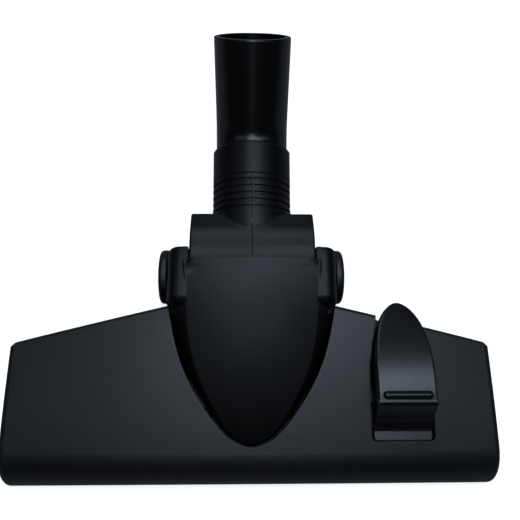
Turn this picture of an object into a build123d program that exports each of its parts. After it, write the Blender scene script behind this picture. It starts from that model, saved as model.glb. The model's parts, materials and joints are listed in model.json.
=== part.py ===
"""Floor brush head of a vacuum cleaner, in millimetres.

Work frame: x to the right, y back from the front edge, z up from the floor.
All nodes are moved at the end so that the origin lies on the sole's middle land.
"""
import math
import os
from build123d import *

# Head, driving dimensions
head_width = 256.0
end_depth = 71.0
centre_depth = 89.0
end_taper = 1.4
nose_height = 20.0
end_height = 24.0
crown_height = 37.5
crown_rise_front = 4.4
crown_rise_mid = 9.2
wall = 2.2
nose_radius = 19.0
end_edge_radius = 3.6
rear_bevel = 1.8
rim_lift = 1.2

# Well in the housing that holds the carriage
well_half = 43.4
well_tip = 18.0
carriage_gap = 1.0
rear_gap = 1.7

# Wheels and drum, placed from the housing's rear edge
wheel_radius = 15.0
wheel_width = 5.4
wheel_edge = 2.2
wheel_standoff = 5.7
wheel_gap = 0.6
wheel_axle_radius = 2.0
wheel_axle_grip = 7.4
drum_setback = 5.3

# Carriage
cover_overlap = 6.8
cover_rear_height = 57.4
cover_tip_height = 25.0
cover_wall = 2.0
cover_crown_radius = 400.0
flank_lean_tip = 4.0
flank_lean_rear = 9.0
flank_lean_height = 27.0
crease_radius = 1.2
carriage_floor = 7.5
duct_step_back = 6.0
shoulder_out = 1.6
shoulder_height = 38.5
shoulder_radius = 7.5
shoulder_round = 6.2
shoulder_forward = 2.5
shoulder_low = 1.5
wheel_boss_radius = 10.0
pivot_back = 36.0
pivot_height = 17.0
pivot_pin_radius = 2.5
pivot_pin_reach = 5.5
pivot_boss_wall = 2.0
seat_wall = 1.8
carriage_split = 23.0

# Neck
drum_height = 30.5
drum_radius = 25.0
drum_half = 31.7
drum_wall = 2.2
trunnion_radius = 3.2
trunnion_length = 6.0
neck_angle = 8.0
hood_turn = 34.0
hood_reach = 9.5
hood_corner = 1.5
hood_end_radius = 1.0
hood_blend = 5.0
collar_radius = 21.1
collar_length = 60.0
groove_count = 5
groove_pitch = 3.6
groove_width = 1.7
groove_depth = 1.1
first_groove = 24.6
sleeve_joint = 0.5
sleeve_wall = 1.2
sleeve_lip = 1.6
sleeve_chamfer = 0.8
parting_rib = 1.0
seam = 0.16
window_low = -35.0
window_high = 64.0
window_margin = 6.0

# Swivel tube and its slide ring
tube_bend = 35.0
tube_bend_radius = 26.0
tube_neck_radius = 19.45
tube_mouth_radius = 20.2
tube_straight = 45.5
tube_bore = 16.4
spigot_radius = 18.3
socket_radius = 17.5
socket_depth = 40.0
mouth_round = 0.8
flange_back = 14.9
flange_thickness = 1.5
flange_height = 1.5
ring_thickness = 1.8

# Pedal and its place in the housing
pedal_x = 77.0
pedal_half = 14.7
pedal_toe = 21.2
pedal_crest = 38.0
pedal_crest_height = 39.6
pedal_tip = 91.4
pedal_pivot_back = 63.0
pedal_pivot_height = 25.5
pedal_axle_radius = 1.8
pedal_hub_radius = 4.2
pedal_wall = 2.0
toe_height = 24.7
toe_thickness = 2.3
grip_radius = 2.0
grip_length = 21.0
lever_arm = 20.0
lever_pin_radius = 1.5
lever_half = 2.0
pedal_swing = 16.0
pocket_side_gap = 1.7
pocket_front_gap = 0.6
pocket_corner = 2.6
pedal_toe_corner = 1.6
pocket_skirt = 1.6
pocket_sill = 22.0

# Sole
plate_thickness = 2.4
channel_front = 27.0
channel_rear = 45.0
channel_half = 112.0
channel_height = 7.0
hood_wall = 2.0
throat_half = 15.0
throat_margin = 2.5
lifter_inner = 66.0
lifter_outer = 104.0
lifter_depth = 6.0
lifter_thickness = 1.2
origin_back = 50.0

# Brush
bristle_length = 10.0
bristle_depth = 4.6
bristle_lift = 0.6
bristle_root = 1.4
brush_half = 102.0
rear_brush_margin = 0.6
front_brush_back = 10.5
rear_brush_back = 59.5
carrier_side = 0.8
carrier_thick = 3.4
bridge_low = 16.0
bridge_thick = 2.6
bridge_half = 2.5
fork_wall = 3.4
fork_gap = 1.2

# Screws
screw_radius = 1.5
screw_head_radius = 2.6
screw_head = 1.4
base_screw_length = 10.5
carriage_screw_length = 16.0
carriage_screw_low = 12.4
boss_radius = 3.4
carriage_boss_radius = 4.2

# Clearances
run_fit = 0.05
press_fit = 0.02
loose_fit = 0.3
nest_gap = 0.25
drum_gap = 1.0
side_gap = 1.2
slot_gap = 0.7

# Sizes that follow from the others
half_width = head_width / 2
rake = math.atan2(centre_depth - end_depth, half_width - end_taper - well_half)
end_lean = math.atan2(end_taper, end_depth)
wheel_back = centre_depth + wheel_standoff + wheel_radius
drum_back = wheel_back + drum_setback
cover_rear = drum_back - cover_overlap
cheek_half = well_half + shoulder_out
cheek_inner = drum_half + side_gap
seat_radius = drum_radius + drum_gap
channel_top = channel_height + plate_thickness
duct_step = channel_rear + duct_step_back
duct_step_height = channel_top + 1.6
collar_bore = spigot_radius + loose_fit
ring_groove = spigot_radius + flange_height + loose_fit
ring_start = flange_back + flange_thickness + loose_fit
ring_end = ring_start + ring_thickness
sleeve_start = first_groove + groove_count * groove_pitch + sleeve_joint / 2
sleeve_bore = collar_radius - sleeve_wall
pocket_half = pedal_half + pocket_side_gap
pocket_front = pedal_toe - pocket_front_gap
lever_lift = math.radians(pedal_swing / 2)
pin_back = pedal_pivot_back - lever_arm * math.cos(lever_lift)
pin_height = pedal_pivot_height + lever_arm * math.sin(lever_lift)
rear_brush_inner = well_half + rear_brush_margin
carrier_low = bristle_lift + bristle_length
carrier_top = carrier_low + carrier_thick
bridge_top = bridge_low + bridge_thick
far = 200.0


# Plain shapes
def yz_face(outline, x):
    """Face from a closed outline drawn as (y, z), standing at a given x."""
    return Plane.YZ.offset(x) * make_face(outline)


def yz_block(points, x0, x1):
    """Prism along x over a side view given as (y, z) points."""
    return extrude(yz_face(Polyline(*points, close=True), x0), amount=x1 - x0)


def rod_x(y, z, radius, x0, x1):
    """Round bar along x."""
    return extrude(Plane.YZ.offset(x0) * (Pos(y, z) * Circle(radius)), amount=x1 - x0)


def rod_z(x, y, radius, z0, z1):
    """Round bar along z."""
    return Pos(x, y, (z0 + z1) / 2) * Cylinder(radius, z1 - z0)


def block(x0, x1, y0, y1, z0, z1):
    """Box between two corners, given in either order."""
    return Pos((x0 + x1) / 2, (y0 + y1) / 2, (z0 + z1) / 2) * Box(abs(x1 - x0), abs(y1 - y0), abs(z1 - z0))


def mirrored(shape):
    """The same shape on the other side of the middle."""
    return shape.mirror(Plane.YZ)


# Outline of the well: share of the half width against share of the depth
well_shape = [
    (0.0, 0.0), (0.13, 0.018), (0.247, 0.056), (0.436, 0.17), (0.6, 0.31),
    (0.767, 0.486), (0.88, 0.662), (0.956, 0.845), (1.0, 1.0), (1.014, 1.17), (1.018, 1.37),
]


def depth_share(y):
    """Place between the well's tip, 0, and the housing's rear edge, 1."""
    return (y - well_tip) / (centre_depth - well_tip)


def well_points(inset):
    """Right half of the well outline, moved inward; inset is a number or a function of y."""
    depth = centre_depth - well_tip
    raw = [(well_half * a, well_tip + depth * b) for a, b in well_shape]
    moved = []
    for i, (x, y) in enumerate(raw):
        step = inset(y) if callable(inset) else inset
        xa, ya = raw[i - 1] if i else (-raw[1][0], raw[1][1])
        xb, yb = raw[min(i + 1, len(raw) - 1)]
        length = math.hypot(xb - xa, yb - ya)
        moved.append((x - step * (yb - ya) / length, y + step * (xb - xa) / length))
    return moved


def well_x(y):
    """Half width of the well at a distance back."""
    points = well_points(0.0)
    for (xa, ya), (xb, yb) in zip(points, points[1:]):
        if ya <= y <= yb:
            return xa + (xb - xa) * (y - ya) / (yb - ya)
    return points[-1][0]


def well_wire(inset, height):
    """Closed wire of the well outline; height is a number or a function of y."""
    right = well_points(inset)
    left = [(-x, y) for x, y in reversed(right[1:])]
    curve = [(x, y, height(y) if callable(height) else height) for x, y in left + right]
    return Wire([Spline(*curve), Line(curve[-1], curve[0])])


def well_column(inset, z0, z1):
    """Upright column over the well outline."""
    return Solid.make_loft([well_wire(inset, z0), well_wire(inset, z1)], True)


# Housing
def crown_section(y, end_z, mid_z):
    """Upright slice of the head at a distance back, arched from end to end."""
    half = half_width + 4.0
    arc = ThreePointArc((-half, end_z), (0, mid_z), (half, end_z))
    rest = Polyline((half, end_z), (half, -6.0), (-half, -6.0), (-half, end_z))
    return Plane.XZ.offset(-y) * make_face([arc, rest])


def plan_points(inset):
    """Plan of the head, each side moved inward by inset."""
    side_x = half_width - inset / math.cos(end_lean)
    front_x = side_x - inset * math.tan(end_lean)
    top_y = centre_depth + well_half * math.tan(rake) - inset / math.cos(rake)
    corner_y = (top_y - side_x * math.tan(rake)) / (1 - math.tan(end_lean) * math.tan(rake))
    corner_x = side_x - corner_y * math.tan(end_lean)
    inner_y = top_y - well_half * math.tan(rake)
    right = [(front_x, inset), (corner_x, corner_y), (well_half, inner_y)]
    return right + [(-x, y) for x, y in reversed(right)]


def head_block(inset):
    """Body of the head: crowned top, raked plan, rounded nose and ends, all moved in by inset."""
    top = loft([
        crown_section(-5.0, nose_height - 1.0 - inset, nose_height - inset),
        crown_section(20.0, nose_height + 2.2 - inset, nose_height + 2.2 + crown_rise_front - inset),
        crown_section(55.0, end_height - 0.4 - inset, end_height - 0.4 + crown_rise_mid - inset),
        crown_section(100.0, end_height - inset, crown_height - inset),
    ])
    points = plan_points(inset)
    plan = Pos(0, 0, -4) * extrude(make_face(Polyline(*points, close=True)), amount=70)
    body = top & plan
    front = [e for e in body.edges() if abs(e.center().Y - inset) < 0.05 and e.center().Z > 8]
    body = fillet(front, nose_radius - inset)
    ends = []
    for e in body.edges():
        m = e.position_at(0.5)
        off = abs(m.X) - (points[0][0] - (m.Y - inset) * math.tan(end_lean))
        if abs(off) < 0.03 and m.Z > -3.5 and m.Y < points[1][1] - 0.5:
            ends.append(e)
    return fillet(ends, end_edge_radius - inset)


def on_rear_edge(edge):
    """True for the top edges along the raked rear of the housing."""
    m = edge.position_at(0.5)
    line = centre_depth - (abs(m.X) - well_half) * math.tan(rake)
    long_enough = abs(edge.position_at(0.1).X - edge.position_at(0.9).X) > 3
    return abs(m.Y - line) < 0.03 and m.Z > 10 and abs(m.X) > well_half and long_enough


def pocket_column(grow, z0, z1):
    """Opening for the pedal: straight sides, then narrowing to a notch in the rear edge."""
    side_end = 58.0
    notch_half = 10.6
    right = [(pocket_half, pocket_front), (pocket_half, side_end), (notch_half, centre_depth + 2)]
    points = right + [(-x, y) for x, y in reversed(right)]
    face = make_face(Polyline(*points, close=True))
    face = fillet(face.vertices().sort_by(Axis.Y)[:2], pocket_corner)
    if grow:
        face = offset(face, grow)
    return Pos(pedal_x, 0, z0) * extrude(face, amount=z1 - z0)


base_screw_spots = [
    (side * x, y) for side in (-1, 1)
    for x, y in ((half_width - 10, channel_front - 5), (half_width - 11.5, channel_rear + 13),
                 (well_half + 8.6, centre_depth - 13))
]
pivot_wall_x = well_x(pivot_back)
skirt_low = bridge_top + 0.6
pocket_rear_wall = centre_depth - (pedal_x - well_half) * math.tan(rake) - 5.0


def make_top_housing():
    """Moulded top shell with the carriage's well, the pedal's pocket, screw bosses and bearings."""
    outer = head_block(0.0)
    outer = chamfer([e for e in outer.edges() if on_rear_edge(e)], rear_bevel)
    inner = head_block(wall)
    inner -= well_column(-wall, -10, 70)
    inner -= pocket_column(pocket_skirt, skirt_low, 70)
    for x, y in base_screw_spots:
        inner -= rod_z(x, y, boss_radius, plate_thickness + nest_gap, 70)
    for side in (-1, 1):
        inner -= rod_x(pivot_back, pivot_height, pivot_pin_radius + pivot_boss_wall,
                       side * (pivot_wall_x - 2), side * (pivot_wall_x + 8))
        edge = pedal_x + side * pocket_half
        inner -= rod_x(pedal_pivot_back, pedal_pivot_height, pedal_hub_radius, edge, edge + side * 3.5)
    body = outer - inner
    for side in (-1, 1):
        body -= rod_x(pivot_back, pivot_height, pivot_pin_radius + run_fit,
                      side * (pivot_wall_x - 8), side * (pivot_wall_x + pivot_pin_reach + 0.5))
    body -= well_column(0.0, -10, 70)
    body -= pocket_column(0, -10, 70) & block(0, far, 0, pocket_rear_wall, 0, 70)
    body -= pocket_column(0, pocket_sill, 70)
    body -= block(-far, far, -20, far, -10, rim_lift)
    seat = make_face(Polyline(*plan_points(wall), close=True))
    seat = fillet(seat.vertices().sort_by(Axis.Y)[:2], end_edge_radius - wall)
    body -= extrude(seat, amount=plate_thickness + nest_gap)
    grow = hood_wall + nest_gap
    body -= block(-channel_half - grow, channel_half + grow, channel_front - grow, channel_rear + grow,
                  0, channel_top + nest_gap)
    for x, y in base_screw_spots:
        body -= rod_z(x, y, screw_radius + press_fit, 0, 2.5 + base_screw_length)
    body -= rod_x(pedal_pivot_back, pedal_pivot_height, pedal_axle_radius + press_fit,
                  pedal_x - pocket_half - 2.4, pedal_x + pocket_half + 2.4)
    return body


# Sole
def brush_slots(grow):
    """Three slots for the bristle strips: front, rear right and rear left."""
    half = bristle_depth / 2 + grow
    front = block(-brush_half - grow, brush_half + grow,
                  front_brush_back - half, front_brush_back + half, -5, 30)
    rear = block(rear_brush_inner - grow, brush_half + grow,
                 rear_brush_back - half, rear_brush_back + half, -5, 30)
    return front, rear, mirrored(rear)


def make_lifter(side, grow):
    """Pile strip in the sole's middle land, which picks up threads."""
    y = channel_rear + 2.5
    return block(side * (lifter_inner - grow), side * (lifter_outer + grow),
                 y - grow, y + lifter_depth + grow, -5 if grow else 0, lifter_thickness)


def make_base_plate():
    """Sole plate: suction channel with its hood, throat, brush slots and screw holes."""
    face = make_face(Polyline(*plan_points(wall + nest_gap), close=True))
    face = fillet(face.vertices().sort_by(Axis.Y)[:2], end_edge_radius - wall)
    plate = extrude(face, amount=plate_thickness)
    plate += block(-channel_half - hood_wall, channel_half + hood_wall,
                   channel_front - hood_wall, channel_rear + hood_wall, 0, channel_top)
    plate -= block(-channel_half, channel_half, channel_front, channel_rear, -1, channel_height)
    plate -= block(-throat_half - 2, throat_half + 2,
                   channel_front + 1, channel_rear - 1, -1, channel_top + 1)
    for slot in brush_slots(slot_gap):
        plate -= slot
    for side in (-1, 1):
        plate -= make_lifter(side, 0.1)
    for x, y in base_screw_spots:
        plate -= rod_z(x, y, screw_radius + 0.2, -1, 5)
        plate -= rod_z(x, y, screw_head_radius + 0.2, -1, screw_head + 0.1)
    front_y = wall + nest_gap
    low = [e for e in plate.edges() if abs(e.center().Z) < 0.01 and e.center().Y < front_y + 0.1]
    return chamfer(low, 1.0)


def make_screw(x, y, z, length):
    """Cross-slotted screw standing up from z."""
    shape = rod_z(x, y, screw_head_radius, z, z + screw_head)
    shape += rod_z(x, y, screw_radius, z + screw_head, z + screw_head + length)
    shape -= Pos(x, y, z) * Box(3.2, 0.8, 1.4)
    shape -= Pos(x, y, z) * Box(0.8, 3.2, 1.4)
    return shape


def put_screws(spots, z, length):
    """One group of like screws."""
    return Compound([make_screw(x, y, z, length) for x, y in spots])


# Carriage
def flank_foot(y):
    """Height at which the cover's flank starts to lean in."""
    return cover_tip_height - 4.6 + 13.4 * depth_share(y)


def cover_profile(drop):
    """Side view of the cover's top, front to rear, as (y, z)."""
    back = cover_rear - well_tip
    rise = cover_rear_height - cover_tip_height
    shape = [(0.09, 0.155), (0.28, 0.405), (0.45, 0.59),
             (0.56, 0.695), (0.68, 0.8), (0.86, 0.93), (1.0, 1.0), (1.07, 1.03)]
    tip = (well_tip - 3.0, cover_tip_height - 3.2 - drop)
    return [tip] + [(well_tip + back * a, cover_tip_height + rise * b - drop) for a, b in shape]


def cover_envelope(inset, floor):
    """Solid outline of the carriage's middle: flanks that lean in, under a gently crowned top."""
    base = carriage_gap + inset

    def lean(y):
        return base + flank_lean_tip + flank_lean_rear * min(1.0, depth_share(y))

    lower = Solid.make_loft([well_wire(base, floor), well_wire(base, flank_foot)], True)
    upper = Solid.make_loft(
        [well_wire(base, flank_foot), well_wire(lean, lambda y: flank_foot(y) + flank_lean_height)], True)
    points = cover_profile(inset)
    front, last = points[0], points[-1]
    outline = [Spline(*points), Polyline(last, (last[0], -5.0), (front[0] - 9, -5.0),
                                         (front[0] - 9, front[1] - 4.0), front)]
    spread = math.degrees(math.asin(60.0 / (cover_crown_radius - cover_rear_height)))
    hub = Axis((0, 0, cover_rear_height - cover_crown_radius), (0, 1, 0))
    side = yz_face(outline, 0).rotate(hub, -spread)
    return (lower + upper) & revolve(side, hub, 2 * spread)


def cheek(side):
    """Shoulder beside the drum: carries the wheel axle and half of the drum's bearing."""
    front_y = centre_depth - 5.0
    rounds = [Pos(drum_back - shoulder_forward, drum_height - shoulder_low) * Circle(shoulder_radius),
              Pos(wheel_back, wheel_radius) * Circle(wheel_boss_radius)]
    edges = [e for c in rounds for e in c.edges()]
    edges.append(Line((front_y, wheel_radius - 3), (front_y, shoulder_height)))
    outline = make_face(make_hull(edges))
    bar = extrude(Plane.YZ.offset(cheek_inner) * outline, amount=cheek_half - cheek_inner)
    outer = [e for e in bar.edges() if abs(e.center().X - cheek_half) < 0.01 and e.center().Y > front_y + 1]
    bar = fillet(outer, shoulder_round)
    bar -= block(well_half - carriage_gap - 0.6, 80, 0, centre_depth + rear_gap, 0, 80)
    return bar if side > 0 else mirrored(bar)


def polar_block(a0, a1, reach, x_half):
    """Wedge about the drum axis, angles in degrees from straight ahead, upward positive."""
    def rim(a):
        turn = math.radians(a)
        return (drum_back - reach * math.cos(turn), drum_height + reach * math.sin(turn))

    arc = ThreePointArc(rim(a0), rim((a0 + a1) / 2), rim(a1))
    sides = Polyline(rim(a1), (drum_back, drum_height), rim(a0))
    return extrude(yz_face([arc, sides], -x_half), amount=2 * x_half)


carriage_screw_spots = [
    (side * x, y) for side in (-1, 1)
    for x, y in ((well_x(cover_rear - 30) - 10.0, cover_rear - 30), (well_half - 4.8, centre_depth + 1))
]


def rounded_envelope():
    """Outline of the carriage's middle with its two long creases rounded from just behind the tip."""
    whole = cover_envelope(0.0, carriage_floor)
    behind = block(-60, 60, well_tip + 6.0, far, -10, 90)
    rear = whole & behind
    creases = []
    for e in rear.edges():
        m = e.position_at(0.5)
        if e.length > 40 and abs(m.X) > 10 and m.Z > flank_foot(m.Y) + 4 and m.Y < cover_rear:
            creases.append(e)
    return fillet(creases, crease_radius) + (whole - behind)


def carriage_hollow():
    """Air space inside the carriage, with room left for the cheeks, bosses and drum seat."""
    hollow = cover_envelope(cover_wall, carriage_floor + cover_wall)
    hollow -= block(-60, 60, 0, duct_step, -5, duct_step_height + cover_wall)
    hollow -= rod_x(drum_back, drum_height, seat_radius + seat_wall, -60, 60)
    for side in (-1, 1):
        hollow -= block(side * cheek_inner, side * 60, centre_depth - 5.0, drum_back + 15, 0, 60)
    for x, y in carriage_screw_spots:
        if abs(x) < cheek_inner:
            hollow -= rod_z(x, y, carriage_boss_radius, 0, 60)
    for side in (-1, 1):
        hollow -= rod_x(pivot_back, pivot_height, pivot_pin_radius + pivot_boss_wall,
                        side * (pivot_wall_x - 7), side * (pivot_wall_x + 7))
    return hollow


def make_carriage():
    """Whole carriage before it is parted into cover and base."""
    body = rounded_envelope()
    body -= block(-60, 60, 0, duct_step, -5, duct_step_height)
    body -= carriage_hollow()
    seat = rod_x(drum_back, drum_height, seat_radius + seat_wall, -cheek_inner, cheek_inner)
    body += seat & block(-60, 60, 0, cover_rear + 4.0, 0, cover_rear_height - 1.4)
    body += cheek(1)
    body += cheek(-1)
    body -= block(-throat_half, throat_half,
                  channel_front + throat_margin, channel_rear - throat_margin, 0, 20)
    body -= rod_x(drum_back, drum_height, seat_radius, -cheek_inner, cheek_inner)
    body -= block(-cheek_inner, cheek_inner, cover_rear, far, drum_height, 90)
    body -= block(-cheek_inner, cheek_inner, drum_back - 3.0, far, 0, 90)
    body -= polar_block(window_low, 20, seat_radius + 3.0, drum_half - window_margin)
    for side in (-1, 1):
        body -= rod_x(drum_back, drum_height, trunnion_radius + run_fit,
                      side * (cheek_inner - 1), side * (drum_half + trunnion_length + 0.6))
        body -= rod_x(wheel_back, wheel_radius, wheel_axle_radius + press_fit,
                      side * (cheek_half - wheel_axle_grip - 0.1), side * 60)
        body -= rod_x(pivot_back, pivot_height, pivot_pin_radius + press_fit,
                      side * (pivot_wall_x - pivot_pin_reach - 0.1), side * (pivot_wall_x + 16))
    under_head = carriage_screw_low + screw_head
    for x, y in carriage_screw_spots:
        body -= rod_z(x, y, screw_radius + press_fit, 0, under_head + carriage_screw_length + 1)
        body -= rod_z(x, y, screw_head_radius + 0.2, 0, under_head + 0.2)
    return body


def upper_zone(shift):
    """Space of the carriage's upper half: parted along the flank and at the drum's bearing."""
    step = cover_rear - 8.0
    return yz_block([(0, carriage_split + shift), (step, carriage_split + shift), (step, drum_height + shift),
                     (far, drum_height + shift), (far, 90), (0, 90)], -80, 80)


def make_wheel():
    """Right wheel: barely domed face, rounded tread edge, recess and blind bore on the inside."""
    x0 = cheek_half + wheel_gap
    x1 = x0 + wheel_width
    r = wheel_radius
    dome = ThreePointArc((x1 - 0.8, r), (x1 - 0.2, r / 2), (x1, 0))
    face = make_face([Polyline((x1, 0), (x0, 0), (x0, r), (x1 - 0.8, r)), dome])
    solid = revolve(face, Axis.X, 360)
    rims = [e for e in solid.edges() if e.length > 6 * r - 1]
    outer = [e for e in rims if e.center().X > x0 + 1]
    solid = fillet(outer, wheel_edge)
    inner = [e for e in solid.edges() if abs(e.center().X - x0) < 0.01 and e.length > 6 * r - 1]
    solid = chamfer(inner, 0.7)
    solid -= rod_x(0, 0, wheel_axle_radius + run_fit, x0 - 1, x1 - 1.6)
    solid -= rod_x(0, 0, r - 3.5, x0 - 1, x0 + 1.6) - rod_x(0, 0, 2.2 * wheel_axle_radius, x0 - 2, x0 + 3)
    return Pos(0, wheel_back, wheel_radius) * solid


def make_wheel_axle(side):
    """Steel stub held in the shoulder, ending short of the wheel's blind bore."""
    outer = cheek_half + wheel_gap + wheel_width - 1.6 - loose_fit
    x0, x1 = sorted((side * (cheek_half - wheel_axle_grip), side * outer))
    return rod_x(wheel_back, wheel_radius, wheel_axle_radius, x0, x1)


def make_pivot_pin(side):
    """Pin pressed into the carriage and turning in the well's wall."""
    x0, x1 = sorted((side * (pivot_wall_x - pivot_pin_reach), side * (pivot_wall_x + pivot_pin_reach)))
    return rod_x(pivot_back, pivot_height, pivot_pin_radius, x0, x1)


# Neck, built upright along its own axis z and then laid back
neck_place = Plane(
    origin=(0, drum_back, drum_height), x_dir=(1, 0, 0),
    z_dir=(0, math.cos(math.radians(neck_angle)), math.sin(math.radians(neck_angle))))


def along(radius, s0, s1):
    """Round bar along the neck axis, between distances s0 and s1."""
    return Pos(0, 0, (s0 + s1) / 2) * Cylinder(radius, s1 - s0)


def tube_wall(radius, bore, s0, s1):
    """Round sleeve along the neck axis."""
    return along(radius, s0, s1) - along(bore, s0 - 1, s1 + 1)


def hood_profile():
    """Side view of the drum: round, running out tangent to a squared hood behind."""
    a = math.radians(hood_turn)
    leave = (drum_radius * math.cos(a), drum_radius * math.sin(a))
    tip = (leave[0] - hood_reach * math.sin(a), leave[1] + hood_reach * math.cos(a))
    front = ThreePointArc(leave, (0, -drum_radius), (-leave[0], leave[1]))
    rear = Polyline((-leave[0], leave[1]), (-tip[0], tip[1]), tip, leave)
    face = make_face([front, rear])
    return fillet([v for v in face.vertices() if abs(v.Y - tip[1]) < 0.01], hood_corner)


def on_collar(edge):
    """True for the edges where the hood meets the collar."""
    for share in (0.1, 0.5, 0.9):
        p = edge.position_at(share)
        if abs(math.hypot(p.X, p.Y) - collar_radius) > 0.02 or not 5 < p.Z < first_groove + 10:
            return False
    return True


def make_neck():
    """Both neck shells as one: drum with trunnions, hood, ribbed collar, air window."""
    drum = extrude(Plane.YZ.offset(-drum_half) * hood_profile(), amount=2 * drum_half)
    by_x = drum.faces().sort_by(Axis.X)
    drum = fillet(by_x[0].edges() + by_x[-1].edges(), hood_end_radius)
    body = drum + along(collar_radius, 0, sleeve_start + 2)
    body = fillet([e for e in body.edges() if on_collar(e)], hood_blend)
    for i in range(groove_count):
        s = first_groove + i * groove_pitch
        body -= tube_wall(drum_radius + 10, collar_radius - groove_depth,
                          s - groove_width / 2, s + groove_width / 2)
    rib_low = first_groove - groove_width / 2
    rib = block(seam / 2, parting_rib + seam / 2, -collar_radius, collar_radius, rib_low, sleeve_start)
    body += rib & along(collar_radius - 0.05, 0, collar_length)
    body -= tube_wall(drum_radius, sleeve_bore - run_fit, sleeve_start - sleeve_joint, far)
    body += along(sleeve_bore - run_fit, sleeve_start - 1, collar_length - sleeve_lip)
    body -= Rot(0, 90, 0) * Cylinder(drum_radius - drum_wall, 2 * (drum_half - drum_wall))
    body -= along(collar_bore, 5.0, far)
    body -= along(ring_groove, flange_back - loose_fit, ring_end)
    for side in (-1, 1):
        stub = Rot(0, 90, 0) * Cylinder(trunnion_radius, trunnion_length + 1)
        body += Pos(side * (drum_half + trunnion_length / 2 - 0.5), 0, 0) * stub

    def rim(a):
        a = math.radians(a + neck_angle)
        return (-2 * drum_radius * math.sin(a), -2 * drum_radius * math.cos(a))

    arc = ThreePointArc(rim(window_low), rim((window_low + window_high) / 2), rim(window_high))
    wedge = make_face([arc, Polyline(rim(window_high), (0, 0), rim(window_low))])
    half = drum_half - window_margin
    body -= extrude(Plane.YZ.offset(-half) * wedge, amount=2 * half)
    return body


def neck_half(body, side):
    """One of the two shells that meet along the seam."""
    keep = block(side * seam / 2, side * 100, -60, 60, -80, 120)
    return neck_place.location * (body & keep)


def make_sleeve():
    """Ring that clips over the two shells and closes the collar's mouth."""
    ring = tube_wall(collar_radius, sleeve_bore, sleeve_start, collar_length)
    ring += tube_wall(collar_radius - 0.5, collar_bore, collar_length - sleeve_lip + loose_fit, collar_length)
    mouth = [e for e in ring.edges() if abs(e.center().Z - collar_length) < 0.01]
    rim = [e for e in mouth if e.length > 6.2 * collar_radius]
    return neck_place.location * chamfer(rim, sleeve_chamfer)


def make_slide_ring():
    """Low-friction ring that keeps the tube's flange in the neck."""
    ring = tube_wall(ring_groove - run_fit, spigot_radius + run_fit, ring_start, ring_end - run_fit)
    return neck_place.location * ring


# Tube
def make_tube():
    """Bent swivel tube: flanged spigot in the collar, shoulder, bend, flared socket."""
    shoulder = collar_length + 0.4
    bend_start = collar_length + 1.0
    outer = along(spigot_radius, flange_back, bend_start)
    outer += along(spigot_radius + flange_height, flange_back, flange_back + flange_thickness)
    outer += along(tube_neck_radius, shoulder, bend_start)
    bend_axis = Axis((0, -tube_bend_radius, bend_start), (1, 0, 0))
    outer += revolve(Pos(0, 0, bend_start) * Circle(tube_neck_radius), bend_axis, tube_bend)
    a = math.radians(tube_bend)
    end_y = -tube_bend_radius * (1 - math.cos(a))
    end_z = bend_start + tube_bend_radius * math.sin(a)
    limb = Plane(origin=(0, end_y, end_z), x_dir=(1, 0, 0), z_dir=(0, -math.sin(a), math.cos(a)))
    straight = Pos(0, 0, tube_straight / 2) * Cone(tube_neck_radius, tube_mouth_radius, tube_straight)
    straight = fillet(straight.edges().sort_by(Axis.Z)[-1], mouth_round)
    outer += limb.location * straight
    outer -= along(tube_bore, flange_back - 1, bend_start)
    outer -= revolve(Pos(0, 0, bend_start) * Circle(tube_bore), bend_axis, tube_bend)
    outer -= limb.location * along(tube_bore, 0, tube_straight)
    outer -= limb.location * along(socket_radius, tube_straight - socket_depth, tube_straight + 2)
    return neck_place.location * outer


# Pedal
def pedal_outline():
    """Leaf plan about the pedal's middle: straight sides, pointed round rear."""
    h = pedal_half
    side_end = 58.0
    right = [(h, side_end), (h - 0.7, 66.0), (h - 2.4, 75.5), (h - 5.2, 83.0), (h - 9.2, 88.6),
             (0.0, pedal_tip)]
    left = [(-x, y) for x, y in reversed(right[:-1])]
    sides = Polyline((-h, side_end), (-h, pedal_toe), (h, pedal_toe), (h, side_end))
    return [sides, Spline(*(right + left))]


def pedal_side():
    """Side view: flat toe, hollow front slope, crest, and a leaf that bends down to its tip."""
    c, z = pedal_crest, pedal_crest_height
    leaf = Spline((c + 1.5, z + 0.5), (c + 12, z + 0.4), (c + 26, z - 1.2), (c + 40, z - 4.4),
                  (pedal_tip, z - 9.2))
    crest = ThreePointArc((c - 0.9, z - 0.6), (c + 0.1, z + 0.3), (c + 1.5, z + 0.5))
    toe_end = pedal_toe + 4.4
    slope = Spline((toe_end, toe_height), (28.8, toe_height + 1.7), (32.4, 31.0), (35.3, 36.0),
                   (c - 0.9, z - 0.6))
    low = pedal_pivot_height - 3.0
    toe_low = toe_height - toe_thickness
    under = Polyline((pedal_tip, z - 9.2), (pedal_tip, z - 11.0), (74, z - 9.6), (70, low + 4.5), (66, low),
                     (60, low), (54, low + 4.5), (48, 29), (40, 29), (30.5, toe_low), (pedal_toe, toe_low),
                     (pedal_toe, toe_height), (toe_end, toe_height))
    return [leaf, crest, slope, under]


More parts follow.
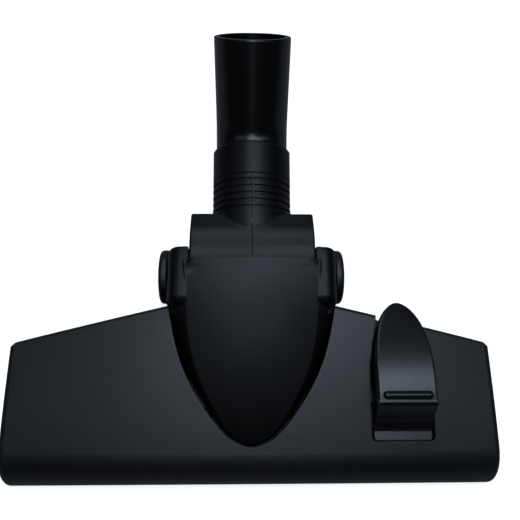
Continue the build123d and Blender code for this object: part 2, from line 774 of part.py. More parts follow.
def make_pedal():
    """Foot pedal: hollow rocker with a middle web, hub, grip bar and lever lug."""
    c, z = pedal_crest, pedal_crest_height
    x0, x1 = pedal_x - pedal_half, pedal_x + pedal_half
    body = extrude(yz_face(pedal_side(), x0 - 5), amount=2 * pedal_half + 10)
    leaf = make_face(pedal_outline())
    leaf = fillet(leaf.vertices().sort_by(Axis.Y)[:2], pedal_toe_corner)
    body &= Pos(pedal_x, 0, 0) * extrude(leaf, amount=60)
    rims = []
    for e in body.edges():
        m = e.position_at(0.5)
        if m.Z > z - 7.5 and abs(abs(m.X - pedal_x) - pedal_half) < 0.05 and e.length > 6:
            rims.append(e)
    body = fillet(rims, 1.0)
    cavity = [(31.5, 20), (31.5, 26.0), (36.4, 31.4), (39.4, z - 3.4), (50, z - 3.0), (64, z - 4.6),
              (75, z - 6.6), (75, 20)]
    cavity = yz_block(cavity, x0 + pedal_wall, x1 - pedal_wall)
    cavity -= block(pedal_x - lever_half, pedal_x + lever_half, 20, 90, 10, 60)
    cavity -= rod_x(pedal_pivot_back, pedal_pivot_height, pedal_hub_radius, x0, x1)
    body -= cavity
    half = grip_length / 2
    bar = Rot(0, 90, 0) * Cylinder(grip_radius, grip_length)
    bar += Pos(-half, 0, 0) * Sphere(grip_radius)
    bar += Pos(half, 0, 0) * Sphere(grip_radius)
    body += Pos(pedal_x, c + 4.2, z + 0.4) * bar
    body += block(pedal_x - lever_half, pedal_x + lever_half, pin_back - 3, pin_back + 3, pin_height, z - 2.0)
    body += rod_x(pin_back, pin_height, 3.0, pedal_x - lever_half, pedal_x + lever_half)
    body -= rod_x(pedal_pivot_back, pedal_pivot_height, pedal_axle_radius + run_fit, x0 - 20, x1 + 20)
    body -= rod_x(pin_back, pin_height, lever_pin_radius + press_fit, pedal_x - 12, pedal_x + 12)
    return body


# Brush
def make_brush_carrier():
    """Lifting frame: three bristle bars joined by bridges over the channel, and the lever's fork."""
    half = bristle_depth / 2 + carrier_side
    rear_y = rear_brush_back
    front_y = front_brush_back
    link_y = front_y + half + 2.0
    body = block(-brush_half, brush_half, front_y - half, front_y + half, carrier_low, carrier_top)
    for side in (-1, 1):
        body += block(side * rear_brush_inner, side * brush_half, rear_y - half, rear_y + half,
                      carrier_low, carrier_top)
        for x in (rear_brush_inner + 7, brush_half - 3):
            a, b = side * (x - bridge_half), side * (x + bridge_half)
            body += block(a, b, front_y, link_y + 3, carrier_low, carrier_top)
            body += block(a, b, link_y, link_y + 3, carrier_low, bridge_top)
            body += block(a, b, rear_y - half, rear_y + 0.5, carrier_low, bridge_top)
            body += block(a, b, link_y, rear_y + 0.5, bridge_low, bridge_top)
        body += block(side * (rear_brush_inner + 5), side * (brush_half - 1), pin_back - 3, pin_back + 3,
                      bridge_low, bridge_top)
    for side in (-1, 1):
        inner = pedal_x + side * (lever_half + fork_gap)
        body += block(inner, inner + side * fork_wall, pin_back - 3, pin_back + 3,
                      bridge_low, pin_height + 3.2)
    for dy in (-0.35, 0.0, 0.35):
        body -= rod_x(pin_back + dy, pin_height, lever_pin_radius + run_fit, pedal_x - 20, pedal_x + 20)
    for slot in brush_slots(0):
        body -= slot & block(-far, far, 0, 100, carrier_low - 1, carrier_low + bristle_root)
    return body


def make_bristles(index):
    """One strip of bristles, rooted in its bar."""
    return brush_slots(0)[index] & block(-far, far, 0, 100, bristle_lift, carrier_low + bristle_root)


carriage = make_carriage()
neck = make_neck()
wheel = make_wheel()
lever_pin_half = lever_half + fork_gap + fork_wall + 0.4
nodes = {
    "top_housing": make_top_housing(),
    "base_plate": make_base_plate(),
    "base_screws": put_screws(base_screw_spots, 0.1, base_screw_length),
    "thread_lifter_left": make_lifter(-1, 0),
    "thread_lifter_right": make_lifter(1, 0),
    "pedal_axle": rod_x(pedal_pivot_back, pedal_pivot_height, pedal_axle_radius,
                        pedal_x - pocket_half - 2.3, pedal_x + pocket_half + 2.3),
    "carriage_cover": carriage & upper_zone(0.03),
    "carriage_base": carriage - upper_zone(-0.03),
    "carriage_screws": put_screws(carriage_screw_spots, carriage_screw_low, carriage_screw_length),
    "carriage_pin_left": make_pivot_pin(-1),
    "carriage_pin_right": make_pivot_pin(1),
    "wheel_axle_left": make_wheel_axle(-1),
    "wheel_axle_right": make_wheel_axle(1),
    "wheel_left": mirrored(wheel),
    "wheel_right": wheel,
    "neck_shell_left": neck_half(neck, -1),
    "neck_shell_right": neck_half(neck, 1),
    "collar_sleeve": make_sleeve(),
    "swivel_ring": make_slide_ring(),
    "swivel_tube": make_tube(),
    "pedal": make_pedal(),
    "lever_pin": rod_x(pin_back, pin_height, lever_pin_radius,
                       pedal_x - lever_pin_half, pedal_x + lever_pin_half),
    "brush_carrier": make_brush_carrier(),
    "bristles_front": make_bristles(0),
    "bristles_rear_right": make_bristles(1),
    "bristles_rear_left": make_bristles(2),
}

os.makedirs("parts", exist_ok=True)
for name, shape in nodes.items():
    placed = Pos(0, -origin_back, 0) * shape
    placed.label = name
    export_step(placed, "parts/" + name + ".step")
    box = placed.bounding_box()
    print(name, len(placed.solids()), round(placed.volume / 1000, 2), "cm3",
          [round(v, 1) for v in (box.min.X, box.max.X, box.min.Y, box.max.Y, box.min.Z, box.max.Z)])
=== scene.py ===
# %% [markdown]
# A floor brush head, dressed for its picture
#
# The part itself comes from CAD: every plastic shell, pin and wheel is already a solid in the right place.
# This lesson gives those solids their finish, swaps the plain bristle blocks for real tufts,
# and sets the light and the camera so that the picture is taken from where the photograph was.
# Lengths are in metres. +X is the pedal's side, +Y runs back to the neck, +Z is up.

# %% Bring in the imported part
import json
import math

import bmesh
import bpy
from mathutils import Matrix, Vector
from mathutils.bvhtree import BVHTree


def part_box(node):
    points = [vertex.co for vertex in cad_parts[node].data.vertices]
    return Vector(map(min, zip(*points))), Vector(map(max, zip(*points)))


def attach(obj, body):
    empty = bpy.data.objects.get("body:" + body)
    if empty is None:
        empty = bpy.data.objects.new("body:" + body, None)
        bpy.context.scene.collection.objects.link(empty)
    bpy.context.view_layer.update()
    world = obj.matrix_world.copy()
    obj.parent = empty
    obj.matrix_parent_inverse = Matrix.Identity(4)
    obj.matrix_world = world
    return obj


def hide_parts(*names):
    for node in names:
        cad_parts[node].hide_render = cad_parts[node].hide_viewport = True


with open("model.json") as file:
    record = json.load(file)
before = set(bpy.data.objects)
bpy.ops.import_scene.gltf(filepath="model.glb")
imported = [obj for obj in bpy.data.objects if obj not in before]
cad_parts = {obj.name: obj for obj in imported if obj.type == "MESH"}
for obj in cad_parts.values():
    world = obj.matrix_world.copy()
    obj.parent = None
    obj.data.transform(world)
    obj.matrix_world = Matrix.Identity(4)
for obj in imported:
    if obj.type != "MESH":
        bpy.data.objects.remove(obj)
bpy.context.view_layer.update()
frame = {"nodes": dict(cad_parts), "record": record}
nodes = frame["nodes"]

# %% [markdown]
# Two effects come back on nearly every plastic: the fine grain of a textured mould, and a paler line along
# edges, partly wear from handling and partly a painted highlight. Each is one node group, so all materials
# share it.
# A group only hands out numbers. What the numbers do is decided in the material that asks for them.


# %% Helpers for node trees
def socket_in(tree, name, kind, value):
    item = tree.interface.new_socket(name=name, in_out="INPUT", socket_type=kind)
    item.default_value = value


def socket_out(tree, name, kind):
    tree.interface.new_socket(name=name, in_out="OUTPUT", socket_type=kind)


def math_node(tree, operation, a, b=None, clamp=False):
    node = tree.nodes.new("ShaderNodeMath")
    node.operation = operation
    node.use_clamp = clamp
    for slot, value in ((0, a), (1, b)):
        if value is None:
            continue
        if isinstance(value, (int, float)):
            node.inputs[slot].default_value = value
        else:
            tree.links.new(value, node.inputs[slot])
    return node.outputs[0]


print("helpers ready")


# %% Grain of a textured mould
def make_grain():
    tree = bpy.data.node_groups.new("Mould grain", "ShaderNodeTree")
    socket_in(tree, "Scale", "NodeSocketFloat", 2600.0)
    socket_out(tree, "Height", "NodeSocketFloat")
    socket_out(tree, "Patch", "NodeSocketFloat")
    start = tree.nodes.new("NodeGroupInput")
    end = tree.nodes.new("NodeGroupOutput")
    where = tree.nodes.new("ShaderNodeTexCoord")
    fine = tree.nodes.new("ShaderNodeTexNoise")
    fine.inputs["Detail"].default_value = 3.0
    fine.inputs["Roughness"].default_value = 0.6
    broad = tree.nodes.new("ShaderNodeTexNoise")
    broad.inputs["Scale"].default_value = 26.0
    broad.inputs["Detail"].default_value = 4.0
    for texture in (fine, broad):
        tree.links.new(where.outputs["Object"], texture.inputs["Vector"])
    tree.links.new(start.outputs["Scale"], fine.inputs["Scale"])
    tree.links.new(fine.outputs["Fac"], end.inputs["Height"])
    tree.links.new(broad.outputs["Fac"], end.inputs["Patch"])
    return tree


grain = make_grain()
print("group:", grain.name)


# %% Pale edges, partly wear and partly painted highlight, and a little dust
def make_wear_and_highlight():
    tree = bpy.data.node_groups.new("Edge wear", "ShaderNodeTree")
    socket_in(tree, "Radius", "NodeSocketFloat", 0.0006)
    socket_out(tree, "Edge", "NodeSocketFloat")
    socket_out(tree, "Dust", "NodeSocketFloat")
    socket_out(tree, "Normal", "NodeSocketVector")
    start = tree.nodes.new("NodeGroupInput")
    end = tree.nodes.new("NodeGroupOutput")
    where = tree.nodes.new("ShaderNodeTexCoord")
    shape = tree.nodes.new("ShaderNodeNewGeometry")
    bevel = tree.nodes.new("ShaderNodeBevel")
    bevel.samples = 4
    tree.links.new(start.outputs["Radius"], bevel.inputs["Radius"])
    turn = tree.nodes.new("ShaderNodeVectorMath")
    turn.operation = "DOT_PRODUCT"
    tree.links.new(bevel.outputs["Normal"], turn.inputs[0])
    tree.links.new(shape.outputs["Normal"], turn.inputs[1])
    # Edge mask, 1 along rounded edges: the pale colour it gives is partly wear and partly a painted
    # highlight.
    bend = math_node(tree, "SUBTRACT", 1.0, turn.outputs["Value"])
    edge = math_node(tree, "MULTIPLY", bend, 5.0, clamp=True)
    specks = tree.nodes.new("ShaderNodeTexVoronoi")
    specks.inputs["Scale"].default_value = 260.0
    tree.links.new(where.outputs["Object"], specks.inputs["Vector"])
    near = math_node(tree, "LESS_THAN", specks.outputs["Distance"], 0.045)
    split = tree.nodes.new("ShaderNodeSeparateColor")
    tree.links.new(specks.outputs["Color"], split.inputs[0])
    few = math_node(tree, "GREATER_THAN", split.outputs[0], 0.8)
    dust = math_node(tree, "MULTIPLY", near, few)
    tree.links.new(edge, end.inputs["Edge"])
    tree.links.new(dust, end.inputs["Dust"])
    tree.links.new(bevel.outputs["Normal"], end.inputs["Normal"])
    return tree


wear_and_highlight = make_wear_and_highlight()
print("group:", wear_and_highlight.name)

# %% [markdown]
# The whole head is black, and the photograph shows almost nothing of the pigment: what reads as shape is
# reflected light. So each plastic is nearly black in base colour, and the pieces differ by roughness and
# grain: the housing is finely textured, the tube is drawn smooth, the pedal lies between them.


# %% One recipe for every plastic
def plastic(name, colour, rough, bump, grain_scale=2600.0, edge=0.35, dust=0.25, specular=0.5):
    material = bpy.data.materials.new(name)
    material.use_nodes = True
    tree = material.node_tree
    surface = tree.nodes["Principled BSDF"]
    surface.inputs["Specular IOR Level"].default_value = specular
    texture = tree.nodes.new("ShaderNodeGroup")
    texture.node_tree = grain
    texture.inputs["Scale"].default_value = grain_scale
    wear_and_highlight_marks = tree.nodes.new("ShaderNodeGroup")
    wear_and_highlight_marks.node_tree = wear_and_highlight
    uneven = math_node(tree, "MULTIPLY_ADD", texture.outputs["Patch"], 0.14)
    uneven.node.inputs[2].default_value = rough - 0.07
    tree.links.new(uneven, surface.inputs["Roughness"])
    # Pale edges: base colour lifted towards grey along every edge, partly wear and partly a painted
    # highlight. The specks are real dust.
    pale = math_node(tree, "MULTIPLY", wear_and_highlight_marks.outputs["Edge"], edge)
    specks = math_node(tree, "MULTIPLY", wear_and_highlight_marks.outputs["Dust"], dust)
    both = math_node(tree, "MAXIMUM", pale, specks)
    mix = tree.nodes.new("ShaderNodeMix")
    mix.data_type = "RGBA"
    mix.inputs["A"].default_value = (*colour, 1.0)
    mix.inputs["B"].default_value = (0.09, 0.09, 0.09, 1.0)
    tree.links.new(both, mix.inputs["Factor"])
    tree.links.new(mix.outputs["Result"], surface.inputs["Base Color"])
    relief = tree.nodes.new("ShaderNodeBump")
    relief.inputs["Strength"].default_value = bump
    relief.inputs["Distance"].default_value = 0.0002
    tree.links.new(texture.outputs["Height"], relief.inputs["Height"])
    tree.links.new(wear_and_highlight_marks.outputs["Normal"], relief.inputs["Normal"])
    tree.links.new(relief.outputs["Normal"], surface.inputs["Normal"])
    return material


def plain(name, colour, rough, metal=0.0):
    material = bpy.data.materials.new(name)
    material.use_nodes = True
    tree = material.node_tree
    surface = tree.nodes["Principled BSDF"]
    surface.inputs["Base Color"].default_value = (*colour, 1.0)
    surface.inputs["Metallic"].default_value = metal
    texture = tree.nodes.new("ShaderNodeGroup")
    texture.node_tree = grain
    uneven = math_node(tree, "MULTIPLY_ADD", texture.outputs["Patch"], 0.2)
    uneven.node.inputs[2].default_value = rough - 0.1
    tree.links.new(uneven, surface.inputs["Roughness"])
    return material


# The edge argument sets how pale the edges are painted: partly wear, partly a painted highlight.
looks = {
    "housing_black": plastic("Housing plastic", (0.0035, 0.0035, 0.0037), 0.43, 0.24, specular=0.62),
    "cover_black": plastic("Cover plastic", (0.0032, 0.0032, 0.0034), 0.36, 0.18, specular=0.25),
    "sole_black": plastic("Sole plastic", (0.006, 0.006, 0.0063), 0.40, 0.15),
    "neck_black": plastic("Neck plastic", (0.0032, 0.0032, 0.0034), 0.38, 0.18, specular=0.25),
    "tube_black": plastic("Tube plastic", (0.0026, 0.0026, 0.0028), 0.26, 0.04, edge=0.2, dust=0.1),
    "pedal_black": plastic("Pedal plastic", (0.0028, 0.0028, 0.0030), 0.27, 0.06),
    "wheel_black": plastic("Wheel plastic", (0.0035, 0.0035, 0.0037), 0.42, 0.18),
    "carrier_grey": plastic("Carrier plastic", (0.03, 0.03, 0.032), 0.5, 0.2),
    "ring_white": plastic("Slide ring plastic", (0.7, 0.69, 0.65), 0.35, 0.05, edge=0.0, dust=0.0),
    "lifter": plain("Lifter pile", (0.30, 0.02, 0.025), 0.9),
    "bristle": plain("Bristle", (0.012, 0.012, 0.013), 0.45),
    "steel": plain("Steel", (0.6, 0.6, 0.61), 0.32, metal=1.0),
    "pin_black": plain("Blackened steel", (0.02, 0.02, 0.021), 0.45, metal=1.0),
}
slot_of = {s["node"]: s["material_slot"] for s in frame["record"]["subparts"]}
for name, item in nodes.items():
    item.data.materials.clear()
    item.data.materials.append(looks[slot_of[name]])
print("materials:", len(looks))

# %% [markdown]
# The CAD meshes arrive faceted. Smooth shading with an angle limit keeps the crisp creases of the cover and
# the pedal while the nose and the drum read as round.

# %% Smooth the round faces
for name, item in nodes.items():
    for face in item.data.polygons:
        face.use_smooth = True
    item.data.set_sharp_from_angle(angle=math.radians(28))
print("shaded:", len(nodes), "nodes")

# %% [markdown]
# Beside the drum, the cover runs out into two rounded shoulders, level with its top. The solid's own
# shoulders stop lower, so their upper part is made here. A copy of the cover's mesh stands in for it. Two
# blocks are added to the copy, with a wide round along the outside and smaller ones at the ends, and the
# few vertices of the copy that would stick out above the blocks are lowered.


# %% Shoulders of the cover
def cover_top(tree, x, y):
    """Height of the cover's crowned top; behind its rear edge it is carried on at the same slope."""
    rear = 0.0575
    slope = math.tan(math.radians(9.0))
    crown_radius = 0.4
    spot = tree.ray_cast(Vector((0.0, min(y, rear), 0.2)), Vector((0.0, 0.0, -1.0)))[0]
    return spot.z + max(0.0, y - rear) * slope - x * x / (2 * crown_radius)


def soften(shape, offset, test):
    """Round every edge of a bmesh whose two ends pass a test."""
    edges = [e for e in shape.edges if test(e.verts[0].co, e.verts[1].co)]
    bmesh.ops.bevel(shape, geom=edges, offset=offset, segments=8, profile=0.5, affect="EDGES")


def shoulder(side):
    """Nearly level block on one side, with a wide round outside and smaller ones at its ends."""
    inner, outer, front, rear, low = 0.0323, 0.0424, 0.0360, 0.0650, 0.0360
    tops = {front: 0.0537, rear: 0.0551}
    shape = bmesh.new()
    plan = [(inner, front), (outer, front), (outer, rear), (inner, rear)]
    under = [shape.verts.new((side * x, y, low)) for x, y in plan]
    above = [shape.verts.new((side * x, y, tops[y])) for x, y in plan]
    for n in range(4):
        m = (n + 1) % 4
        shape.faces.new([under[n], under[m], above[m], above[n]])
    shape.faces.new(above)
    shape.faces.new(list(reversed(under)))
    bmesh.ops.recalc_face_normals(shape, faces=shape.faces)

    def along_outside(p, q):
        return min(abs(p.x), abs(q.x)) > outer - 1e-5 and min(p.z, q.z) > low + 0.01

    def round_end(y):
        def test(p, q):
            at_end = max(abs(p.y - y), abs(q.y - y)) < 1e-5
            return at_end and max(p.z, q.z) > low + 1e-4 and max(abs(p.x), abs(q.x)) > inner + 1e-4
        return test

    side_round, rear_round, front_round = 0.0062, 0.0028, 0.0040
    soften(shape, side_round, along_outside)
    soften(shape, rear_round, round_end(rear))
    soften(shape, front_round, round_end(front))
    mesh = bpy.data.meshes.new("shoulder")
    shape.to_mesh(mesh)
    shape.free()
    return mesh


print("shoulder helpers ready")

# %% Cover with its shoulders
seat_edge, seat_front, seat_rear, seat_low = 0.0329, 0.048, 0.0584, 0.050
corner_side, corner_front, corner_top = 0.0326, 0.0565, 0.0546
cover = nodes["carriage_cover"]
points = [cover.matrix_world @ v.co for v in cover.data.vertices]
cover_tree = BVHTree.FromPolygons(points, [tuple(p.vertices) for p in cover.data.polygons])
whole = bmesh.new()
whole.from_mesh(cover.data)
for vert in whole.verts:
    on_edge = abs(abs(vert.co.x) - seat_edge) < 0.0001
    if on_edge and seat_front < vert.co.y < seat_rear and vert.co.z > seat_low:
        vert.co.z = min(vert.co.z, cover_top(cover_tree, vert.co.x, vert.co.y) - 0.0001)
    if abs(vert.co.x) > corner_side and vert.co.y > corner_front:
        vert.co.z = min(vert.co.z, corner_top)
for side in (1, -1):
    whole.from_mesh(shoulder(side))
skin_mesh = bpy.data.meshes.new("cover_skin")
whole.to_mesh(skin_mesh)
whole.free()
skin_mesh.materials.append(looks["cover_black"])
for face in skin_mesh.polygons:
    face.use_smooth = True
    face.material_index = 0
skin_mesh.set_sharp_from_angle(angle=math.radians(28))
skin = bpy.data.objects.new("cover_skin", skin_mesh)
bpy.context.scene.collection.objects.link(skin)
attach(skin, "carriage")
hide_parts("carriage_cover")
print("cover:", len(skin_mesh.polygons), "faces")

# %% [markdown]
# Bristles are many and alike, so Geometry Nodes lays them out: a grid of points over each strip, a thin
# tapered bristle on every point, turned and leaned a little by a random amount, then made into one plain
# mesh. The same layout with shorter, thinner hairs on a thin backing makes the pile of the two thread
# lifters. Every size is a named input of the tree, so one tree serves all the strips of a kind.


# %% Inputs and small parts of the layout
strip_sizes = {
    "Field along": "NodeSocketFloat",
    "Field across": "NodeSocketFloat",
    "Hairs along": "NodeSocketInt",
    "Hairs across": "NodeSocketInt",
    "Place": "NodeSocketVector",
    "Hair length": "NodeSocketFloat",
    "Root radius": "NodeSocketFloat",
    "Tip radius": "NodeSocketFloat",
    "Lean": "NodeSocketFloat",
    "Backing size": "NodeSocketVector",
    "Backing place": "NodeSocketVector",
}


def joined(tree, x, y, z):
    """Vector from three parts, each a number or a socket."""
    node = tree.nodes.new("ShaderNodeCombineXYZ")
    for slot, value in enumerate((x, y, z)):
        if isinstance(value, float):
            node.inputs[slot].default_value = value
        else:
            tree.links.new(value, node.inputs[slot])
    return node.outputs[0]


def moved(tree, shape, offset):
    """Shape carried along by an offset."""
    node = tree.nodes.new("GeometryNodeTransform")
    tree.links.new(shape, node.inputs["Geometry"])
    tree.links.new(offset, node.inputs["Translation"])
    return node.outputs["Geometry"]


def random_vector(tree, seed):
    node = tree.nodes.new("FunctionNodeRandomValue")
    node.data_type = "FLOAT_VECTOR"
    node.inputs["Seed"].default_value = seed
    return node


print("inputs of a strip:", len(strip_sizes))


# %% Points and hairs
def planted_points(tree, size):
    """Grid of points over the strip, each shaken a little from its place."""
    field = tree.nodes.new("GeometryNodeMeshGrid")
    tree.links.new(size["Field along"], field.inputs["Size X"])
    tree.links.new(size["Field across"], field.inputs["Size Y"])
    tree.links.new(size["Hairs along"], field.inputs["Vertices X"])
    tree.links.new(size["Hairs across"], field.inputs["Vertices Y"])
    stray = random_vector(tree, 0)
    stray.inputs[0].default_value = (-0.00035, -0.0003, 0.0)
    stray.inputs[1].default_value = (0.00035, 0.0003, 0.0)
    shake = tree.nodes.new("GeometryNodeSetPosition")
    tree.links.new(moved(tree, field.outputs["Mesh"], size["Place"]), shake.inputs["Geometry"])
    tree.links.new(stray.outputs[0], shake.inputs["Offset"])
    return shake.outputs["Geometry"]


def hanging_hair(tree, size):
    """Tapered five-sided hair that hangs down from its root."""
    hair = tree.nodes.new("GeometryNodeMeshCone")
    hair.inputs["Vertices"].default_value = 5
    tree.links.new(size["Root radius"], hair.inputs["Radius Top"])
    tree.links.new(size["Tip radius"], hair.inputs["Radius Bottom"])
    tree.links.new(size["Hair length"], hair.inputs["Depth"])
    down = math_node(tree, "MULTIPLY", size["Hair length"], -1.0)
    return moved(tree, hair.outputs["Mesh"], joined(tree, 0.0, 0.0, down))


print("points and hairs ready")


# %% Layout of a strip
def strip_tree(name, material, backing):
    tree = bpy.data.node_groups.new(name, "GeometryNodeTree")
    tree.interface.new_socket(name="Geometry", in_out="INPUT", socket_type="NodeSocketGeometry")
    for label, kind in strip_sizes.items():
        tree.interface.new_socket(name=label, in_out="INPUT", socket_type=kind)
    tree.interface.new_socket(name="Geometry", in_out="OUTPUT", socket_type="NodeSocketGeometry")
    size = tree.nodes.new("NodeGroupInput").outputs
    end = tree.nodes.new("NodeGroupOutput")
    lean = random_vector(tree, 4)
    away = math_node(tree, "MULTIPLY", size["Lean"], -1.0)
    tree.links.new(joined(tree, away, away, 0.0), lean.inputs[0])
    tree.links.new(joined(tree, size["Lean"], size["Lean"], 6.28), lean.inputs[1])
    plant = tree.nodes.new("GeometryNodeInstanceOnPoints")
    tree.links.new(planted_points(tree, size), plant.inputs["Points"])
    tree.links.new(hanging_hair(tree, size), plant.inputs["Instance"])
    tree.links.new(lean.outputs[0], plant.inputs["Rotation"])
    both = tree.nodes.new("GeometryNodeJoinGeometry")
    tree.links.new(plant.outputs["Instances"], both.inputs["Geometry"])
    if backing:
        slab = tree.nodes.new("GeometryNodeMeshCube")
        tree.links.new(size["Backing size"], slab.inputs["Size"])
        lifted = moved(tree, slab.outputs["Mesh"], size["Backing place"])
        tree.links.new(lifted, both.inputs["Geometry"])
    real = tree.nodes.new("GeometryNodeRealizeInstances")
    tree.links.new(both.outputs["Geometry"], real.inputs["Geometry"])
    paint = tree.nodes.new("GeometryNodeSetMaterial")
    paint.inputs["Material"].default_value = material
    tree.links.new(real.outputs["Geometry"], paint.inputs["Geometry"])
    tree.links.new(paint.outputs["Geometry"], end.inputs["Geometry"])
    return tree


bristle_layout = strip_tree("Bristle layout", looks["bristle"], False)
pile_layout = strip_tree("Pile layout", looks["lifter"], True)
print("layouts:", bristle_layout.name, "and", pile_layout.name)


# %% From a layout to a plain mesh
def sizes_for(low, high, along, across, root, thick, tip, slant):
    """Values of the named inputs for a strip that fills the box from low to high."""
    x, y = (low.x + high.x) / 2, (low.y + high.y) / 2
    return {
        "Field along": high.x - low.x - 0.0012,
        "Field across": high.y - low.y - 0.0010,
        "Hairs along": along,
        "Hairs across": across,
        "Place": (x, y, high.z - root),
        "Hair length": high.z - root - low.z - 0.00005,
        "Root radius": thick,
        "Tip radius": tip,
        "Lean": slant,
        "Backing size": (high.x - low.x, high.y - low.y, root),
        "Backing place": (x, y, high.z - root / 2),
    }


def realised(name, tree, sizes):
    """The mesh that a layout makes, as a plain object with no modifier."""
    maker = bpy.data.objects.new(name + " maker", bpy.data.meshes.new(name + " maker"))
    modifier = maker.modifiers.new("layout", "NODES")
    modifier.node_group = tree
    for item in tree.interface.items_tree:
        if item.in_out == "INPUT" and item.name in sizes:
            modifier[item.identifier] = sizes[item.name]
    bpy.context.scene.collection.objects.link(maker)
    graph = bpy.context.evaluated_depsgraph_get()
    mesh = bpy.data.meshes.new_from_object(maker.evaluated_get(graph))
    bpy.data.objects.remove(maker)
    piece = bpy.data.objects.new(name, mesh)
    bpy.context.scene.collection.objects.link(piece)
    return piece


print("strip maker ready")

# %% Bristle strips
for node in ("bristles_front", "bristles_rear_left", "bristles_rear_right"):
    low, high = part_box(node)
    along = int((high.x - low.x) / 0.0011)
    sizes = sizes_for(low, high, along, 5, root=0.0014, thick=0.00030, tip=0.00018, slant=0.03)
    tufts = realised(node + "_tufts", bristle_layout, sizes)
    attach(tufts, "brush")
    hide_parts(node)
    print(node, "->", len(tufts.data.polygons), "faces")

# %% Pile of the thread lifters
for node in ("thread_lifter_left", "thread_lifter_right"):
    low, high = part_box(node)
    sizes = sizes_for(low, high, 84, 13, root=0.0005, thick=0.00022, tip=0.00010, slant=0.2)
    pile = realised(node + "_pile", pile_layout, sizes)
    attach(pile, "head")
    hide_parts(node)
    print(node, "->", len(pile.data.polygons), "faces")

# %% [markdown]
# The studio: a pale floor, a soft light straight over the head, a narrow fill in front for the cover and
# the tube, a much weaker one further off, one at each side for the shoulders, a small one that the pedal's
# leaf mirrors, and a strip behind for the round of the drum. All are a little cool, and the sides are weak,
# because the nose and the flanks in the photograph are nearly black. The floor glows only where the camera
# sees it, and not under the head, where a painted shadow cuts the glow out, so gaps stay dark.


# %% Finish of the floor
def pale(name, seen, mirrored, glow):
    """Matt floor: pale and glowing for the camera, with a painted shadow under the head, greyer where the
    plastic mirrors it.
    """
    material = bpy.data.materials.new(name)
    material.use_nodes = True
    tree = material.node_tree
    surface = tree.nodes["Principled BSDF"]
    surface.inputs["Roughness"].default_value = 0.8
    surface.inputs["Specular IOR Level"].default_value = 0.1
    surface.inputs["Emission Color"].default_value = (1.0, 1.0, 1.0, 1.0)
    ray = tree.nodes.new("ShaderNodeLightPath")
    where = tree.nodes.new("ShaderNodeTexCoord")
    split = tree.nodes.new("ShaderNodeSeparateXYZ")
    tree.links.new(where.outputs["Object"], split.inputs[0])
    # Painted shadow: the glow is cut to nothing over the head's footprint and fades back in over 5 mm past
    # it.
    shadow_half_width, shadow_half_depth, shadow_forward, fade = 0.113, 0.0315, 0.0115, 200.0
    aside = math_node(tree, "SUBTRACT", math_node(tree, "ABSOLUTE", split.outputs["X"]), shadow_half_width)
    middle = math_node(tree, "ADD", split.outputs["Y"], shadow_forward)
    along = math_node(tree, "SUBTRACT", math_node(tree, "ABSOLUTE", middle), shadow_half_depth)
    outside = math_node(tree, "MULTIPLY", math_node(tree, "MAXIMUM", aside, along), fade, clamp=True)
    seen_glow = math_node(tree, "MULTIPLY", ray.outputs["Is Camera Ray"], glow)
    strength = math_node(tree, "MULTIPLY", seen_glow, outside)
    tree.links.new(strength, surface.inputs["Emission Strength"])
    shade = math_node(tree, "MULTIPLY_ADD", ray.outputs["Is Camera Ray"], seen - mirrored)
    shade.node.inputs[2].default_value = mirrored
    tree.links.new(shade, surface.inputs["Base Color"])
    return material


floor_finish = pale("Floor", 0.86, 0.28, 0.75)
print("floor finish:", floor_finish.name)


# %% Floor and light
def area(name, place, aim, size, power, size_y=None):
    lamp = bpy.data.lights.new(name, "AREA")
    lamp.shape = "RECTANGLE"
    lamp.size = size
    lamp.size_y = size_y or size
    lamp.energy = power
    lamp.color = (0.72, 0.84, 1.0)
    item = bpy.data.objects.new(name, lamp)
    item.location = place
    item.rotation_euler = (Vector(aim) - Vector(place)).to_track_quat("-Z", "Y").to_euler()
    bpy.context.scene.collection.objects.link(item)
    return item


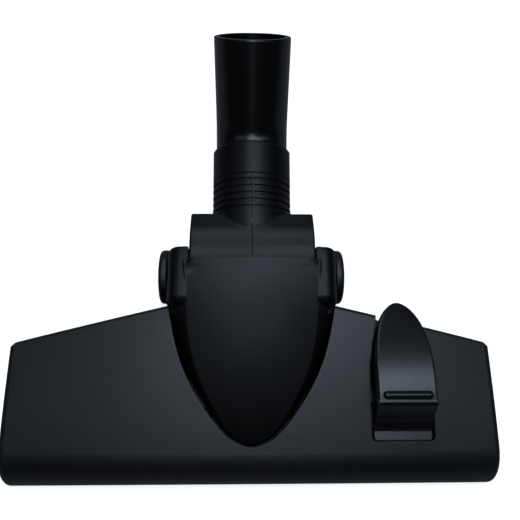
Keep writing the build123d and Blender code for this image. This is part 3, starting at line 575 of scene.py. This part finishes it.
floor_mesh = bpy.data.meshes.new("floor")
reach = 6.0
corners = [(-reach, -reach, 0), (reach, -reach, 0), (reach, reach, 0), (-reach, reach, 0)]
floor_mesh.from_pydata(corners, [], [(0, 1, 2, 3)])
floor = bpy.data.objects.new("floor", floor_mesh)
floor.data.materials.append(floor_finish)
floor.location.z = -0.0004
bpy.context.scene.collection.objects.link(floor)
area("Overhead", (0.0, 0.12, 1.03), (0.0, 0.12, 0.0), 0.36, 2.6, 0.48)
area("Front fill", (0.0, -0.31, 1.0), (0.0, 0.02, 0.04), 0.16, 0.80, 0.38)
area("Far fill", (0.0, -0.75, 0.80), (0.0, 0.02, 0.04), 0.16, 0.07, 0.55)
area("Left side", (-0.62, 0.10, 0.85), (-0.03, 0.05, 0.04), 0.34, 0.32, 0.45)
area("Right side", (0.62, 0.10, 0.85), (0.03, 0.05, 0.04), 0.34, 0.32, 0.45)
area("Pedal light", (0.34, 0.21, 1.03), (0.077, 0.02, 0.035), 0.26, 1.1, 0.30)
area("Rear strip", (0.0, 0.83, 0.80), (0.0, 0.08, 0.05), 0.18, 2.4, 0.60)
world = bpy.data.worlds.new("Studio")
bpy.context.scene.world = world
world.use_nodes = True
world.node_tree.nodes["Background"].inputs["Color"].default_value = (1.0, 1.0, 1.0, 1.0)
world.node_tree.nodes["Background"].inputs["Strength"].default_value = 0.02
bpy.context.scene.view_settings.view_transform = "Standard"

# %% [markdown]
# The camera comes from fitting the outline points measured on the photograph: it stands in front of the
# head and high above it, a little to the left, close enough that the tube's end looms larger than the
# collar.

# %% Camera where the photograph was taken
turn = math.radians(-5.3)
rise = math.radians(72.3)
roll = math.radians(5.2)
aim = Vector((0.0048, 0.0683, 0.020))
back = Vector((math.sin(turn) * math.cos(rise), -math.cos(turn) * math.cos(rise), math.sin(rise)))
right = (-back).cross(Vector((0, 0, 1))).normalized()
up = right.cross(-back)
right_rolled = right * math.cos(roll) + up * math.sin(roll)
up_rolled = up * math.cos(roll) - right * math.sin(roll)
spot = aim + back * 0.3405
lens = bpy.data.cameras.new("camera")
lens.sensor_width = 36.0
lens.lens = 36.0 * 609.3 / 520.0
lens.clip_start = 0.01
camera = bpy.data.objects.new("camera", lens)
camera.matrix_world = Matrix((
    (right_rolled.x, up_rolled.x, back.x, spot.x),
    (right_rolled.y, up_rolled.y, back.y, spot.y),
    (right_rolled.z, up_rolled.z, back.z, spot.z),
    (0.0, 0.0, 0.0, 1.0),
))
bpy.context.scene.collection.objects.link(camera)
bpy.context.scene.camera = camera
print("camera at", tuple(round(v, 3) for v in spot))

# %% [markdown]

# %% End of the scene
print("scene ready")
